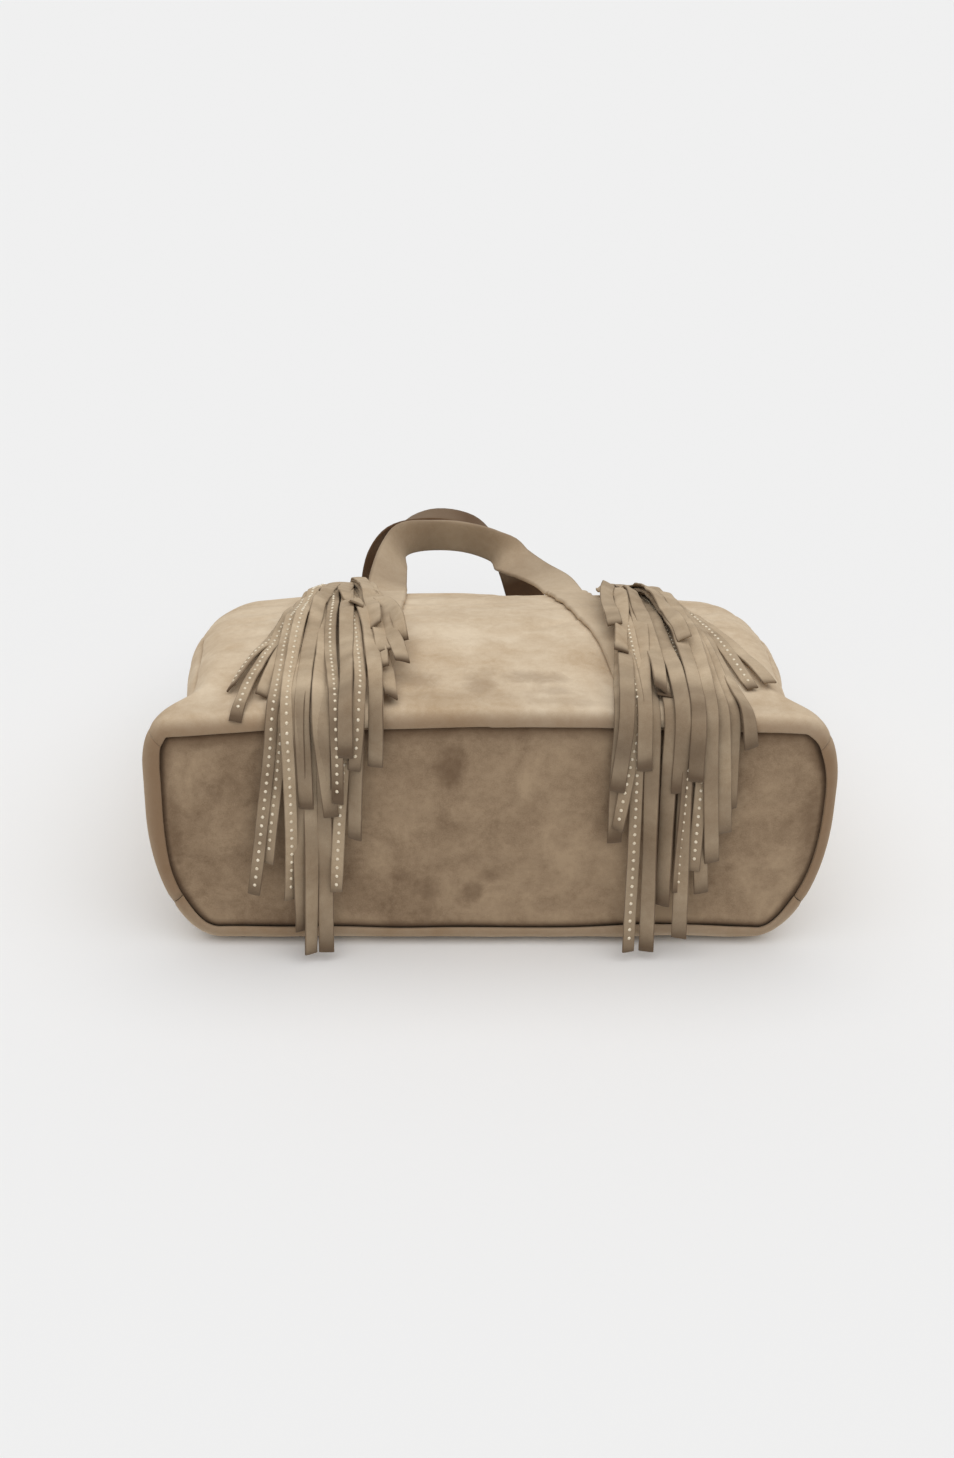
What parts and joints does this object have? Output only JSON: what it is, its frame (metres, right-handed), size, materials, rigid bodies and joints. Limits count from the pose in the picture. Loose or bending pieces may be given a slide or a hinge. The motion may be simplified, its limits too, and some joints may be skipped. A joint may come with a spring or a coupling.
{
  "type": "fringed suede bag",
  "caption": "Soft suede hand bag lying on its back, with a rolled rim round a stiffened base, two strap handles and a long fringe tassel on each side of the front.",
  "frame": {"origin": "middle of the box of the bag and its handles, without the fringe strands, at the height of the underside", "axes": "+X across the bag to the right, +Y from the base to the mouth, +Z from the back panel up to the front panel"},
  "size_m": [0.404, 0.4056, 0.1768],
  "materials": {
    "suede": "matte nubuck",
    "base_suede": "matte nubuck, worn darker",
    "strap_suede": "matte nubuck",
    "fringe_suede": "matte, raw cut edges",
    "lining": "plain woven cloth",
    "board": "grey stiffener sheet"
  },
  "bodies": {
    "root": {"front_panel": "suede", "back_panel": "suede", "left_gusset": "suede", "right_gusset": "suede", "base_panel": "base_suede", "base_board": "board", "lining_base": "lining", "lining_walls": "lining", "front_strap": "strap_suede", "back_strap": "strap_suede", "left_keeper": "fringe_suede", "right_keeper": "fringe_suede", "left_strand_01": "fringe_suede", "left_strand_02": "fringe_suede", "left_strand_03": "fringe_suede", "left_strand_04": "fringe_suede", "left_strand_05": "fringe_suede", "left_strand_06": "fringe_suede", "left_strand_07": "fringe_suede", "left_strand_08": "fringe_suede", "left_strand_09": "fringe_suede", "left_strand_10": "fringe_suede", "left_strand_11": "fringe_suede", "left_strand_12": "fringe_suede", "left_strand_13": "fringe_suede", "left_strand_14": "fringe_suede", "left_strand_15": "fringe_suede", "left_strand_16": "fringe_suede", "left_strand_17": "fringe_suede", "left_strand_18": "fringe_suede", "left_strand_19": "fringe_suede", "left_strand_20": "fringe_suede", "left_strand_21": "fringe_suede", "left_strand_22": "fringe_suede", "left_strand_23": "fringe_suede", "left_strand_24": "fringe_suede", "right_strand_01": "fringe_suede", "right_strand_02": "fringe_suede", "right_strand_03": "fringe_suede", "right_strand_04": "fringe_suede", "right_strand_05": "fringe_suede", "right_strand_06": "fringe_suede", "right_strand_07": "fringe_suede", "right_strand_08": "fringe_suede", "right_strand_09": "fringe_suede", "right_strand_10": "fringe_suede", "right_strand_11": "fringe_suede", "right_strand_12": "fringe_suede", "right_strand_13": "fringe_suede", "right_strand_14": "fringe_suede", "right_strand_15": "fringe_suede", "right_strand_16": "fringe_suede", "right_strand_17": "fringe_suede", "right_strand_18": "fringe_suede", "right_strand_19": "fringe_suede", "right_strand_20": "fringe_suede", "right_strand_21": "fringe_suede", "right_strand_22": "fringe_suede", "right_strand_23": "fringe_suede", "right_strand_24": "fringe_suede"}
  },
  "joints": []
}
